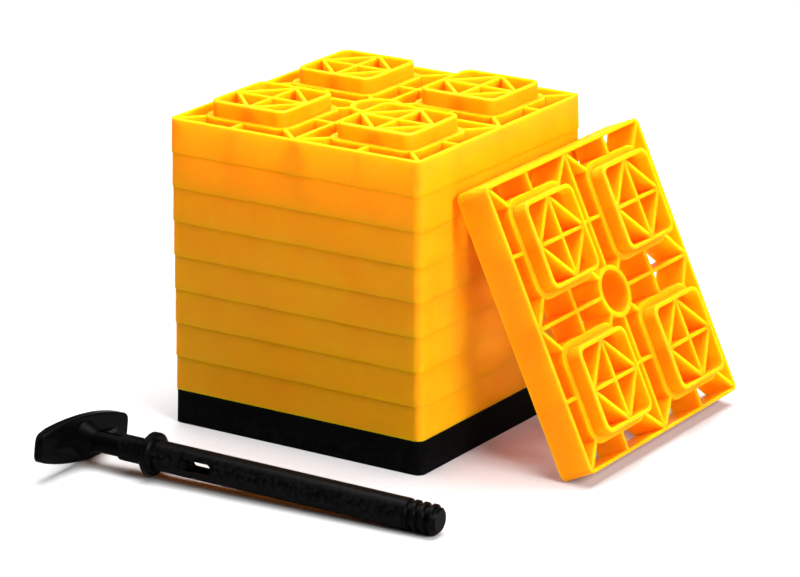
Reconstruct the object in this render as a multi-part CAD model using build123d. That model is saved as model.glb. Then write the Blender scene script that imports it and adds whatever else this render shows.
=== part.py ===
"""Leveling block set: a stack of interlocking wheel blocks on a black base block,
one more block leaning on the stack, and the T-handle that holds the stack together.

Millimetres, +Z up.  The origin is the middle of the base block's underside.
"""

from build123d import *
from math import asin, atan, cos, degrees, hypot, radians, sin, sqrt
import os

os.makedirs("parts", exist_ok=True)

# ---- the set ----
stacked_blocks = 8          # yellow blocks standing on the base block

# ---- block outline ----
block_side = 215.9          # at the bottom edge, where the side walls are widest
layer_height = 25.6         # underside to rib tops, which is also the stacking pitch
corner_radius = 6.0
side_draft = 0.7            # how far each side wall leans in from bottom to top
rim_wall = 2.6              # at the top edge
rim_edge_radius = 0.8

# ---- studs and the pockets that take them ----
stud_side = 65.3
stud_height = 11.4
stud_corner = 8.0
stud_wall = 3.0
stud_edge_radius = 1.2
web_wall = 2.6              # cross and diamond inside a stud
web_drop = 0.8              # webs stop this far below the stud's edge
pocket_clearance = 1.0      # round each side of a stud
pocket_headroom = 0.6       # above a stud
skirt_wall = 4.0

# ---- ribs and the centre tube ----
rib_wall = 2.6
bore_diameter = 32.0
tube_wall = 3.4
lip_height = 3.0            # shoulder at the foot of the bore, under the collar
lip_diameter = 24.0
boss_floor = 2.6            # closed foot of the base block's threaded hole

# ---- T-handle, measured along its axis from the middle of the collar ----
shaft_diameter = 22.0
shaft_length = 233.0        # collar to tip
socket_diameter = 16.0
socket_depth = 72.0         # of the shaft's bore, below the collar
slot_start = 26.5
slot_end = 54.0
slot_width = 8.0
thread_length = 25.0
thread_pitch = 6.9
thread_depth = 1.9
thread_base = 5.2           # width of the ridge at its root
thread_crest = 2.2
thread_relief = 0.15        # crest of the thread inside the shaft's own radius
thread_play = 0.4           # radial, between the shaft and the base block
thread_start = 30.0         # where round the base block's hole the groove begins
thread_sink = 0.6           # how far the ridge's foot runs into the core
tip_chamfer = 2.8
neck_diameter = 19.0        # the shaft's upper end, which the collar is pressed on
neck_height = 25.4
collar_diameter = 31.4
collar_height = 7.4
collar_chamfer = 1.5

# ---- grip: plate, flared boss, stem and lug ----
plate_half_length = 54.4
plate_half_width = 16.5
plate_end_half_width = 9.2
plate_corner_radius = 6.5
plate_thickness = 3.2
plate_edge_radius = 1.0
plate_height = 58.3         # collar to the plate's lower face
flare_height = 10.0
flare_diameter = 26.0
gusset_wall = 3.2
gusset_height = 8.0
gusset_length = 40.0        # from the axis, along each arm
stem_clearance = 0.2        # radial, between the stem and the socket
stem_length = 24.6          # below the collar
groove_width = 3.6
groove_depth = 4.0
tongue_length = 11.0        # one side of the stem runs on as a tongue
tongue_wall = 3.2
lug_clearance = 0.3         # round the lug, in the slot
lug_recess = 0.4            # below the shaft's surface

# ---- cap over the grip plate ----
cap_edge = 2.4
cap_crown = 3.2             # how far the cap rises above its edge
seam_height = 0.6           # groove round the joint of plate and cap
seam_depth = 1.0
peg_diameter = 5.0
peg_height = 3.0
peg_spacing = 60.0

# ---- where the loose pieces lie ----
lean_tilt = 24.2            # degrees from upright
lean_turn = 1.0             # degrees about Z
lean_shift = 41.5           # middle of the leaning block along Y
lean_gap = 0.15             # between the leaning edge and the stack
handle_x = -50.3            # middle of the collar
handle_y = -209.1
handle_turn = 3.1           # degrees about Z
handle_roll = 8.1           # degrees about the shaft
floor_gap = 0.05            # under the handle's two lowest points

# ---- worked-out values ----
stud_offset = block_side / 4        # studs of two blocks side by side keep one pitch
pocket_side = stud_side + 2 * pocket_clearance
pocket_corner = stud_corner + pocket_clearance
pocket_depth = stud_height + pocket_headroom
skirt_side = pocket_side + 2 * skirt_wall
skirt_corner = pocket_corner + skirt_wall
cell_side = stud_side - 2 * stud_wall
cell_corner = max(stud_corner - stud_wall, 1.0)
inner_side = block_side - 2 * (side_draft + rim_wall)
inner_corner = max(corner_radius - side_draft - rim_wall, 1.0)
stud_top = layer_height + stud_height
tube_diameter = bore_diameter + 2 * tube_wall
shaft_radius = shaft_diameter / 2
root_radius = shaft_radius - thread_depth
stem_diameter = socket_diameter - 2 * stem_clearance
overlap = 0.4                       # how far joined shapes run into each other
stud_places = [(x * stud_offset, y * stud_offset) for x in (-1, 1) for y in (-1, 1)]


def joined(shapes):
    total = shapes[0]
    for shape in shapes[1:]:
        total = total + shape
    return total


# ======================= blocks =======================

def rounded_square(side, corner):
    return RectangleRounded(side, side, corner)


def bar(start, end, width):
    """A straight rib seen from above, from one point to another."""
    run = Vector(end[0] - start[0], end[1] - start[1], 0)
    middle = ((start[0] + end[0]) / 2, (start[1] + end[1]) / 2)
    angle = Vector(1, 0, 0).get_signed_angle(run, Vector(0, 0, 1))
    return Pos(*middle) * Rot(0, 0, angle) * Rectangle(run.length, width)


def rib_plan():
    """Ribs outside the studs: midlines, stud lines, and diagonals to the skirts' corners."""
    reach = inner_side / 2 + overlap
    near_arc = stud_offset - (skirt_side / 2 - skirt_corner)
    far_arc = stud_offset + (skirt_side / 2 - skirt_corner)
    corner = reach - inner_corner / 3
    bars = []
    for line in (-stud_offset, 0, stud_offset):
        bars.append(bar((-reach, line), (reach, line), rib_wall))
        bars.append(bar((line, -reach), (line, reach), rib_wall))
    bars.append(bar((-corner, -corner), (corner, corner), rib_wall))
    bars.append(bar((-corner, corner), (corner, -corner), rib_wall))
    for side in (-1, 1):
        for half in (-1, 1):
            bars.append(bar((0, side * reach), (half * near_arc, side * far_arc), rib_wall))
            bars.append(bar((side * reach, 0), (side * far_arc, half * near_arc), rib_wall))
    return joined(bars)


def web_plan():
    """Cross and diamond that join the midpoints of a stud's sides."""
    reach = cell_side / 2 + overlap
    points = [(reach, 0), (0, reach), (-reach, 0), (0, -reach)]
    bars = [bar(points[0], points[2], web_wall), bar(points[1], points[3], web_wall)]
    for index in range(4):
        bars.append(bar(points[index], points[(index + 1) % 4], web_wall))
    return joined(bars)


def rim():
    """Outer wall, leaning in from its bottom edge, with a softened top edge."""
    taper = degrees(atan(side_draft / layer_height))
    wall = extrude(rounded_square(block_side, corner_radius), layer_height, taper=taper)
    wall = fillet(wall.edges().group_by(Axis.Z)[-1], rim_edge_radius)
    return wall - extrude(rounded_square(inner_side, inner_corner), layer_height)


def stud():
    """One stud before its cells are cut, from its pocket's ceiling to its edge."""
    body = extrude(rounded_square(stud_side, stud_corner), stud_top - pocket_depth)
    body = fillet(body.edges().group_by(Axis.Z)[-1], stud_edge_radius)
    return Pos(0, 0, pocket_depth) * body


def stud_cells():
    """The openings between the webs of one stud, clear from bottom to top."""
    cells = rounded_square(cell_side, cell_corner) - web_plan()
    through = extrude(cells, stud_top + overlap)
    top = extrude(rounded_square(cell_side, cell_corner), web_drop + overlap)
    return through + Pos(0, 0, stud_top - web_drop) * top


def block():
    """A whole block whose centre tube is still solid."""
    lattice = rib_plan() & rounded_square(inner_side + overlap, inner_corner + overlap / 2)
    for place in stud_places:
        lattice = lattice + Pos(*place) * rounded_square(skirt_side, skirt_corner)
    lattice = lattice + Circle(tube_diameter / 2)
    body = rim() + extrude(lattice, layer_height)
    pocket = extrude(rounded_square(pocket_side, pocket_corner), pocket_depth)
    for place in stud_places:
        body = body + Pos(*place) * stud()
    for place in stud_places:
        body = body - Pos(*place) * pocket - Pos(*place) * stud_cells()
    return body


def bored_block():
    """Block with the bore for the collar, over the lip that the collar presses on."""
    bore = Pos(0, 0, lip_height) * extrude(Circle(bore_diameter / 2), layer_height)
    return block() - bore - extrude(Circle(lip_diameter / 2), layer_height)


def base_block():
    """Block whose centre boss has the thread for the handle's tip, over a closed floor."""
    hole = Pos(0, 0, boss_floor) * extrude(Circle(root_radius + thread_play), layer_height)
    start = Pos(0, 0, boss_floor + thread_base) * Rot(0, 0, thread_start)
    groove = start * thread_ridge(thread_play, layer_height)
    return block() - groove - hole


# ======================= T-handle, tip down =======================

def thread_ridge(play, length):
    """Helical ridge with sloping flanks that stands out of the root by the thread depth."""
    base = (thread_base + play) / 2
    crest = (thread_crest + play) / 2
    slope = (base - crest) / thread_depth
    inner = root_radius + play - thread_sink
    outer = shaft_radius + play + overlap
    low = base + slope * thread_sink
    high = crest - slope * overlap
    flanks = [(inner, -low), (outer, -high), (outer, high), (inner, low)]
    profile = Plane.XZ * make_face(Polyline(*flanks, close=True))
    return sweep(profile, path=Helix(thread_pitch, length, root_radius), is_frenet=True)


def threaded_tip():
    """Root cylinder and ridge, cut just under the shaft's diameter and chamfered at the tip."""
    core = extrude(Circle(root_radius), thread_length + overlap)
    core = chamfer(core.edges().group_by(Axis.Z)[0], tip_chamfer / 2)
    ridge = Pos(0, 0, -thread_pitch / 2) * thread_ridge(0, thread_length + thread_pitch)
    envelope = extrude(Circle(shaft_radius - thread_relief), thread_length + thread_pitch)
    envelope = chamfer(envelope.edges().group_by(Axis.Z)[0], tip_chamfer)
    return (core + ridge) & envelope


def slot_cutter(across):
    """Slot through the shaft's walls, along X."""
    outline = Plane.YZ * SlotOverall(slot_end - slot_start, slot_width, rotation=90)
    return Pos(0, 0, -(slot_start + slot_end) / 2) * extrude(outline, across, both=True)


def handle_shaft():
    thread_top = shaft_length - thread_length
    shoulder = collar_height / 2
    tube = Pos(0, 0, -thread_top) * extrude(Circle(shaft_radius), thread_top - shoulder)
    neck = Pos(0, 0, -shoulder - overlap) * extrude(
        Circle(neck_diameter / 2), neck_height + shoulder + overlap)
    body = tube + neck + Pos(0, 0, -shaft_length) * threaded_tip()
    socket = Pos(0, 0, -socket_depth) * extrude(
        Circle(socket_diameter / 2), socket_depth + neck_height)
    return body - socket - slot_cutter(shaft_diameter)


def handle_collar():
    """Ring pressed on the neck, against the shaft's shoulder."""
    ring = extrude(Circle(collar_diameter / 2), collar_height)
    ring = chamfer(ring.edges(), collar_chamfer)
    ring = ring - extrude(Circle(neck_diameter / 2), collar_height)
    return Pos(0, 0, -collar_height / 2) * ring


def plate_outline(inset):
    """Long lens with cut ends and rounded corners."""
    length = plate_half_length - inset
    width = plate_half_width - inset
    end = plate_end_half_width - inset
    edges = [
        ThreePointArc((-length, end), (0, width), (length, end)),
        Line((length, end), (length, -end)),
        ThreePointArc((length, -end), (0, -width), (-length, -end)),
        Line((-length, -end), (-length, end)),
    ]
    face = make_face(edges)
    return fillet(face.vertices(), plate_corner_radius - inset)


def pegs(play):
    """Pegs under the cap, or with play, the holes that take them."""
    peg = extrude(Circle(peg_diameter / 2 + play), -peg_height - play)
    places = [Pos(side * peg_spacing / 2, 0, plate_height + plate_thickness) for side in (-1, 1)]
    return [place * peg for place in places]


def gusset(side):
    """Triangular rib from the boss along one arm of the plate."""
    tip = side * gusset_length
    corner = (0, -gusset_height)
    outline = make_face(Polyline((0, overlap), (tip, overlap), (tip, 0), corner, close=True))
    return Pos(0, 0, plate_height) * extrude(Plane.XZ * outline, gusset_wall / 2, both=True)


def stem():
    """Round stem with a groove along two sides, and the tongue and lug at its foot."""
    length = plate_height + stem_length
    body = Pos(0, 0, -stem_length) * extrude(Circle(stem_diameter / 2), length)
    flare = Cone(stem_diameter / 2, flare_diameter / 2, flare_height)
    body = body + Pos(0, 0, plate_height - flare_height / 2) * flare
    groove_length = length - flare_height
    for side in (-1, 1):
        middle = side * (stem_diameter / 2 - groove_depth / 2 + overlap)
        groove = Box(groove_width, groove_depth + 2 * overlap, groove_length)
        body = body - Pos(0, middle, groove_length / 2 - stem_length) * groove
    return body + tongue()


def tongue():
    """The near side of the stem runs on and carries the lug that rides in the slot."""
    strip = extrude(Circle(stem_diameter / 2), tongue_length + overlap)
    strip = strip & Pos(stem_diameter / 2 - tongue_wall / 2, 0, 0) * Box(
        tongue_wall, stem_diameter, 4 * tongue_length)
    strip = Pos(0, 0, -stem_length - tongue_length) * strip
    reach = shaft_radius - lug_recess - (stem_diameter / 2 - tongue_wall / 2)
    lug = extrude(Plane.YZ * Circle(slot_width / 2 - lug_clearance), reach)
    return strip + Pos(shaft_radius - lug_recess - reach, 0, -slot_start - slot_width / 2) * lug


def handle_grip():
    plate = extrude(plate_outline(0), plate_thickness)
    plate = fillet(plate.edges().group_by(Axis.Z)[0], plate_edge_radius)
    body = stem() + Pos(0, 0, plate_height) * plate + gusset(-1) + gusset(1)
    for hole in pegs(0):
        body = body - hole
    return body


def grip_cap():
    """Crowned cap on the plate; a recessed step round its foot makes the seam groove."""
    foot = extrude(plate_outline(seam_depth), seam_height + overlap)
    top = Pos(0, 0, seam_height) * extrude(plate_outline(0), cap_edge + cap_crown)
    crest = seam_height + cap_edge + cap_crown
    across = (plate_half_width ** 2 + cap_crown ** 2) / (2 * cap_crown)
    along = (plate_half_length ** 2 + cap_crown ** 2) / (2 * cap_crown)
    span = 3 * plate_half_length
    top = top & Pos(0, 0, crest - across) * Rot(0, 90, 0) * Cylinder(across, span)
    top = top & Pos(0, 0, crest - along) * Rot(90, 0, 0) * Cylinder(along, span)
    body = Pos(0, 0, plate_height + plate_thickness) * (foot + top)
    for peg in pegs(0):
        body = body + peg
    return body


# ======================= places =======================

def lean_place():
    """Frame of the leaning block: its underside faces the stack, bottom edge on the floor."""
    turn = radians(lean_turn)
    tilt = radians(lean_tilt)
    away = Vector(cos(turn), sin(turn), 0)
    along = Vector(-sin(turn), cos(turn), 0)
    rise = Vector(0, 0, 1) * cos(tilt) - away * sin(tilt)
    normal = away * cos(tilt) + Vector(0, 0, 1) * sin(tilt)
    half = block_side / 2
    straight = half - corner_radius
    top_edge = rise * half
    corner_way = straight if turn > 0 else -straight
    step = (corner_way - lean_shift - top_edge.Y) / along.Y
    step = max(-straight, min(straight, step))
    touch = top_edge + along * step
    centre = Vector(half + lean_gap - touch.X, lean_shift, half * cos(tilt))
    return Plane(origin=centre, x_dir=along, z_dir=normal).location


def handle_place():
    """Frame of the handle: its tip and one edge of the grip plate rest on the floor."""
    roll = radians(handle_roll)
    turn = radians(handle_turn)
    rise = plate_half_width - plate_end_half_width
    arc = (plate_half_length ** 2 + rise ** 2) / (2 * rise)
    support = arc - (arc - plate_half_width) * cos(roll)
    slope = asin((support - shaft_radius) / (plate_height + shaft_length))
    height = floor_gap + shaft_radius * cos(slope) + shaft_length * sin(slope)
    grip_way = Vector(-cos(turn) * cos(slope), -sin(turn) * cos(slope), sin(slope))
    level = Vector(sin(turn), -cos(turn), 0)
    upward = grip_way.cross(level)
    arm_way = level * cos(roll) + upward * sin(roll)
    origin = Vector(handle_x, handle_y, height)
    return Plane(origin=origin, x_dir=arm_way, z_dir=grip_way).location


def build_parts():
    yellow = bored_block()
    parts = {"base_block": base_block()}
    for number in range(1, stacked_blocks + 1):
        parts[f"block_{number}"] = Pos(0, 0, number * layer_height) * yellow
    parts["leaning_block"] = lean_place() * yellow
    place = handle_place()
    parts["handle_shaft"] = place * handle_shaft()
    parts["handle_collar"] = place * handle_collar()
    parts["handle_grip"] = place * handle_grip()
    parts["grip_cap"] = place * grip_cap()
    return parts


for name, solid in build_parts().items():
    export_step(solid, f"parts/{name}.step")
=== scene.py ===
"""Leveling block set: yellow blocks on a black base block, one leaning block and a T-handle."""
from math import radians

import bpy
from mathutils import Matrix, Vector


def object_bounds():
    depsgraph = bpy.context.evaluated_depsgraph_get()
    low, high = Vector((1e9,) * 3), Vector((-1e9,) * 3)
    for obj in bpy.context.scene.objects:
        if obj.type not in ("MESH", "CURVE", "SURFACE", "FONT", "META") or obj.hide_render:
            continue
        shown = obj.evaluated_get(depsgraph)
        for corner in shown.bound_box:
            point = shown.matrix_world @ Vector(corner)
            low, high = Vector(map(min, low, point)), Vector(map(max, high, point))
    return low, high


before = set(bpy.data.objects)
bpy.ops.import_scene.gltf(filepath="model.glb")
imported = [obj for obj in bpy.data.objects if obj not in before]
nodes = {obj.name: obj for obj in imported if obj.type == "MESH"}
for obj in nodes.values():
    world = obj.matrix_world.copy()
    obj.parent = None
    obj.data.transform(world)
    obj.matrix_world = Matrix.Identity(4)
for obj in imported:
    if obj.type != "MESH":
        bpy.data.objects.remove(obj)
cad_low, cad_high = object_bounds()

MM = 0.001

# ---- camera ----
camera_place = Vector((1609.1, -2384.4, 1019.3)) * MM
camera_pitch = 17.88        # degrees below level
camera_turn = 33.60         # degrees to the left of +Y
camera_roll = 0.29
camera_lens = 185.7         # on a 36 mm wide film

# ---- studio ----
floor_half = 6.0            # metres
world_strength = 0.04
overhead_place = (-0.1, 0.55, 1.9)
overhead_target = (-0.1, 0.55, 0)
overhead_size = (1.8, 1.8)
overhead_watts = 135.0
key_place = (1.9, -0.5, 1.1)
key_size = (1.0, 1.0)
key_watts = 78.0
front_place = (-0.05, -0.36, 0.62)
front_target = (0, -0.05, 0.22)
front_size = (0.30, 0.30)
front_watts = 1.8

# ---- edges ----
mould_radius = 0.45 * MM
fine_radius = 0.25 * MM
grip_radius = 0.6 * MM
sharp_corner = radians(35)


# ======================= small helpers for node materials =======================

class Shade:
    """A material's node tree, built one call at a time."""

    def __init__(self, name):
        self.material = bpy.data.materials.new(name)
        self.material.use_nodes = True
        self.tree = self.material.node_tree
        self.shader = self.tree.nodes["Principled BSDF"]
        self.place = self.tree.nodes.new("ShaderNodeTexCoord").outputs["Object"]

    def link(self, source, target):
        self.tree.links.new(source, target)

    def feed(self, socket, value):
        if isinstance(value, bpy.types.NodeSocket):
            self.link(value, socket)
        else:
            socket.default_value = value

    def noise(self, scale, detail=4.0, roughness=0.55, place=None):
        node = self.tree.nodes.new("ShaderNodeTexNoise")
        node.inputs["Scale"].default_value = scale
        node.inputs["Detail"].default_value = detail
        node.inputs["Roughness"].default_value = roughness
        self.link(place or self.place, node.inputs["Vector"])
        return node.outputs["Fac"]

    def spread(self, value, low, high, start=0.0, end=1.0):
        node = self.tree.nodes.new("ShaderNodeMapRange")
        self.feed(node.inputs["Value"], value)
        node.inputs["From Min"].default_value = low
        node.inputs["From Max"].default_value = high
        node.inputs["To Min"].default_value = start
        node.inputs["To Max"].default_value = end
        return node.outputs["Result"]

    def math(self, kind, first, second):
        node = self.tree.nodes.new("ShaderNodeMath")
        node.operation = kind
        self.feed(node.inputs[0], first)
        self.feed(node.inputs[1], second)
        return node.outputs["Value"]

    def mix(self, amount, first, second):
        node = self.tree.nodes.new("ShaderNodeMix")
        node.data_type = "RGBA"
        self.feed(node.inputs["Factor"], amount)
        self.feed(node.inputs["A"], first)
        self.feed(node.inputs["B"], second)
        return node.outputs["Result"]

    def edge(self, pointed=(0.50, 0.60)):
        """How far a point is a raised edge, from 0 to 1."""
        node = self.tree.nodes.new("ShaderNodeNewGeometry")
        return self.spread(node.outputs["Pointiness"], *pointed)

    def bump(self, height, distance, strength=1.0, under=None):
        node = self.tree.nodes.new("ShaderNodeBump")
        node.inputs["Strength"].default_value = strength
        node.inputs["Distance"].default_value = distance
        self.link(height, node.inputs["Height"])
        if under:
            self.link(under, node.inputs["Normal"])
        return node.outputs["Normal"]

    def set(self, **values):
        for name, value in values.items():
            self.feed(self.shader.inputs[name.replace("_", " ")], value)


# ======================= materials =======================

def block_plastic():
    """Yellow polyethylene, slightly translucent, with flow marks, a fine moulded skin and a painted
    highlight along raised edges.
    """
    s = Shade("block_plastic")
    flow = s.noise(14.0, detail=3.0)
    cloud = s.noise(45.0, detail=5.0)
    deep = (0.96, 0.195, 0.001, 1.0)
    plain = (1.0, 0.24, 0.0015, 1.0)
    bright = (1.0, 0.30, 0.002, 1.0)
    colour = s.mix(s.spread(flow, 0.35, 0.65), deep, plain)
    colour = s.mix(s.math("MULTIPLY", s.spread(cloud, 0.45, 0.75), 0.35), colour, bright)
    # Painted highlight: raised edges are mixed halfway towards the brighter yellow, as if they
    # caught the light.
    colour = s.mix(s.math("MULTIPLY", s.edge((0.51, 0.58)), 0.5), colour, bright)
    grain = s.noise(900.0, detail=3.0)
    orange_peel = s.noise(160.0, detail=2.0)
    rough = s.spread(cloud, 0.3, 0.7, 0.36, 0.50)
    skin = s.bump(orange_peel, 0.25 * MM, 0.35)
    skin = s.bump(grain, 0.05 * MM, 0.5, skin)
    s.set(Base_Color=colour, Roughness=rough, Normal=skin, IOR=1.5, Specular_IOR_Level=0.08)
    s.set(Subsurface_Weight=1.0, Subsurface_Scale=0.02)
    s.shader.inputs["Subsurface Radius"].default_value = (1.0, 0.8, 0.05)
    return s.material


def base_plastic():
    """Black polyethylene with a satin moulded skin, paler where its edges are scuffed."""
    s = Shade("base_plastic")
    cloud = s.noise(30.0, detail=5.0)
    scuff = s.math("MULTIPLY", s.edge((0.52, 0.62)), s.spread(s.noise(220.0), 0.45, 0.7))
    deep = (0.0009, 0.0009, 0.0009, 1)
    plain = (0.0018, 0.0018, 0.0018, 1)
    worn = (0.008, 0.008, 0.008, 1)
    colour = s.mix(s.spread(cloud, 0.3, 0.7), deep, plain)
    colour = s.mix(scuff, colour, worn)
    rough = s.spread(cloud, 0.3, 0.7, 0.42, 0.58)
    skin = s.bump(s.noise(160.0, detail=2.0), 0.25 * MM, 0.35)
    skin = s.bump(s.noise(900.0, detail=3.0), 0.05 * MM, 0.5, skin)
    s.set(Base_Color=colour, Roughness=rough, Normal=skin, Specular_IOR_Level=0.01)
    return s.material


def handle_plastic():
    """Black nylon, glossier than the base, with faint sink marks and rubbed edges."""
    s = Shade("handle_plastic")
    cloud = s.noise(60.0, detail=5.0)
    rub = s.math("MULTIPLY", s.edge((0.52, 0.62)), s.spread(s.noise(300.0), 0.4, 0.7))
    deep = (0.0008, 0.0008, 0.0008, 1)
    plain = (0.0014, 0.0014, 0.0014, 1)
    worn = (0.006, 0.006, 0.006, 1)
    colour = s.mix(s.spread(cloud, 0.3, 0.7), deep, plain)
    colour = s.mix(rub, colour, worn)
    rough = s.spread(cloud, 0.3, 0.7, 0.27, 0.32)
    skin = s.bump(s.noise(120.0, detail=2.0), 0.06 * MM, 0.3)
    skin = s.bump(s.noise(1100.0, detail=3.0), 0.03 * MM, 0.4, skin)
    s.set(Base_Color=colour, Roughness=rough, Normal=skin, IOR=1.53, Specular_IOR_Level=0.015)
    return s.material


def floor_paper():
    """Pale backdrop paper."""
    s = Shade("floor_paper")
    fibre = s.noise(350.0, detail=3.0)
    shade = (0.405, 0.405, 0.408, 1)
    pale = (0.435, 0.435, 0.435, 1)
    colour = s.mix(s.spread(fibre, 0.3, 0.7), shade, pale)
    s.set(Base_Color=colour, Roughness=0.85, Normal=s.bump(fibre, 0.1 * MM, 0.3))
    return s.material


def finish_node(name, material, radius):
    """Gives a CAD node its material and breaks its sharp edges, as moulding does."""
    piece = nodes[name]
    piece.data.materials.clear()
    piece.data.materials.append(material)
    if radius:
        bevel = piece.modifiers.new("moulded_edges", "BEVEL")
        bevel.width = radius
        bevel.segments = 2
        bevel.limit_method = "ANGLE"
        bevel.angle_limit = sharp_corner
        bevel.use_clamp_overlap = True
        bevel.harden_normals = False


# ======================= studio =======================

def floor(material):
    mesh = bpy.data.meshes.new("floor")
    corners = [(x * floor_half, y * floor_half, 0) for x, y in ((-1, -1), (1, -1), (1, 1), (-1, 1))]
    mesh.from_pydata(corners, [], [(0, 1, 2, 3)])
    mesh.materials.append(material)
    plane = bpy.data.objects.new("floor", mesh)
    bpy.context.scene.collection.objects.link(plane)


def soft_light(name, place, target, size, power):
    light = bpy.data.lights.new(name, "AREA")
    light.shape = "RECTANGLE"
    light.size, light.size_y = size
    light.energy = power
    lamp = bpy.data.objects.new(name, light)
    lamp.location = place
    lamp.rotation_euler = (Vector(target) - Vector(place)).to_track_quat("-Z", "Y").to_euler()
    bpy.context.scene.collection.objects.link(lamp)


def studio():
    world = bpy.data.worlds.new("studio")
    world.use_nodes = True
    background = world.node_tree.nodes["Background"]
    background.inputs["Color"].default_value = (1.0, 1.0, 1.0, 1.0)
    background.inputs["Strength"].default_value = world_strength
    bpy.context.scene.world = world
    middle = (cad_low + cad_high) / 2
    soft_light("overhead", overhead_place, overhead_target, overhead_size, overhead_watts)
    soft_light("right_key", key_place, middle, key_size, key_watts)
    soft_light("front_near", front_place, front_target, front_size, front_watts)


def camera():
    film = bpy.data.cameras.new("camera")
    film.lens = camera_lens
    film.sensor_width = 36.0
    film.clip_end = 30.0
    shot = bpy.data.objects.new("camera", film)
    shot.rotation_mode = "XYZ"
    shot.location = camera_place
    shot.rotation_euler = (radians(90 - camera_pitch), radians(camera_roll), radians(camera_turn))
    bpy.context.scene.collection.objects.link(shot)
    bpy.context.scene.camera = shot


yellow = block_plastic()
black = base_plastic()
nylon = handle_plastic()
for name in nodes:
    if name == "base_block":
        finish_node(name, black, mould_radius)
    elif "block" in name:
        finish_node(name, yellow, mould_radius)
    elif "grip" in name:
        finish_node(name, nylon, grip_radius)
    else:
        finish_node(name, nylon, fine_radius)
floor(floor_paper())
studio()
camera()
bpy.context.scene.view_settings.view_transform = "Standard"
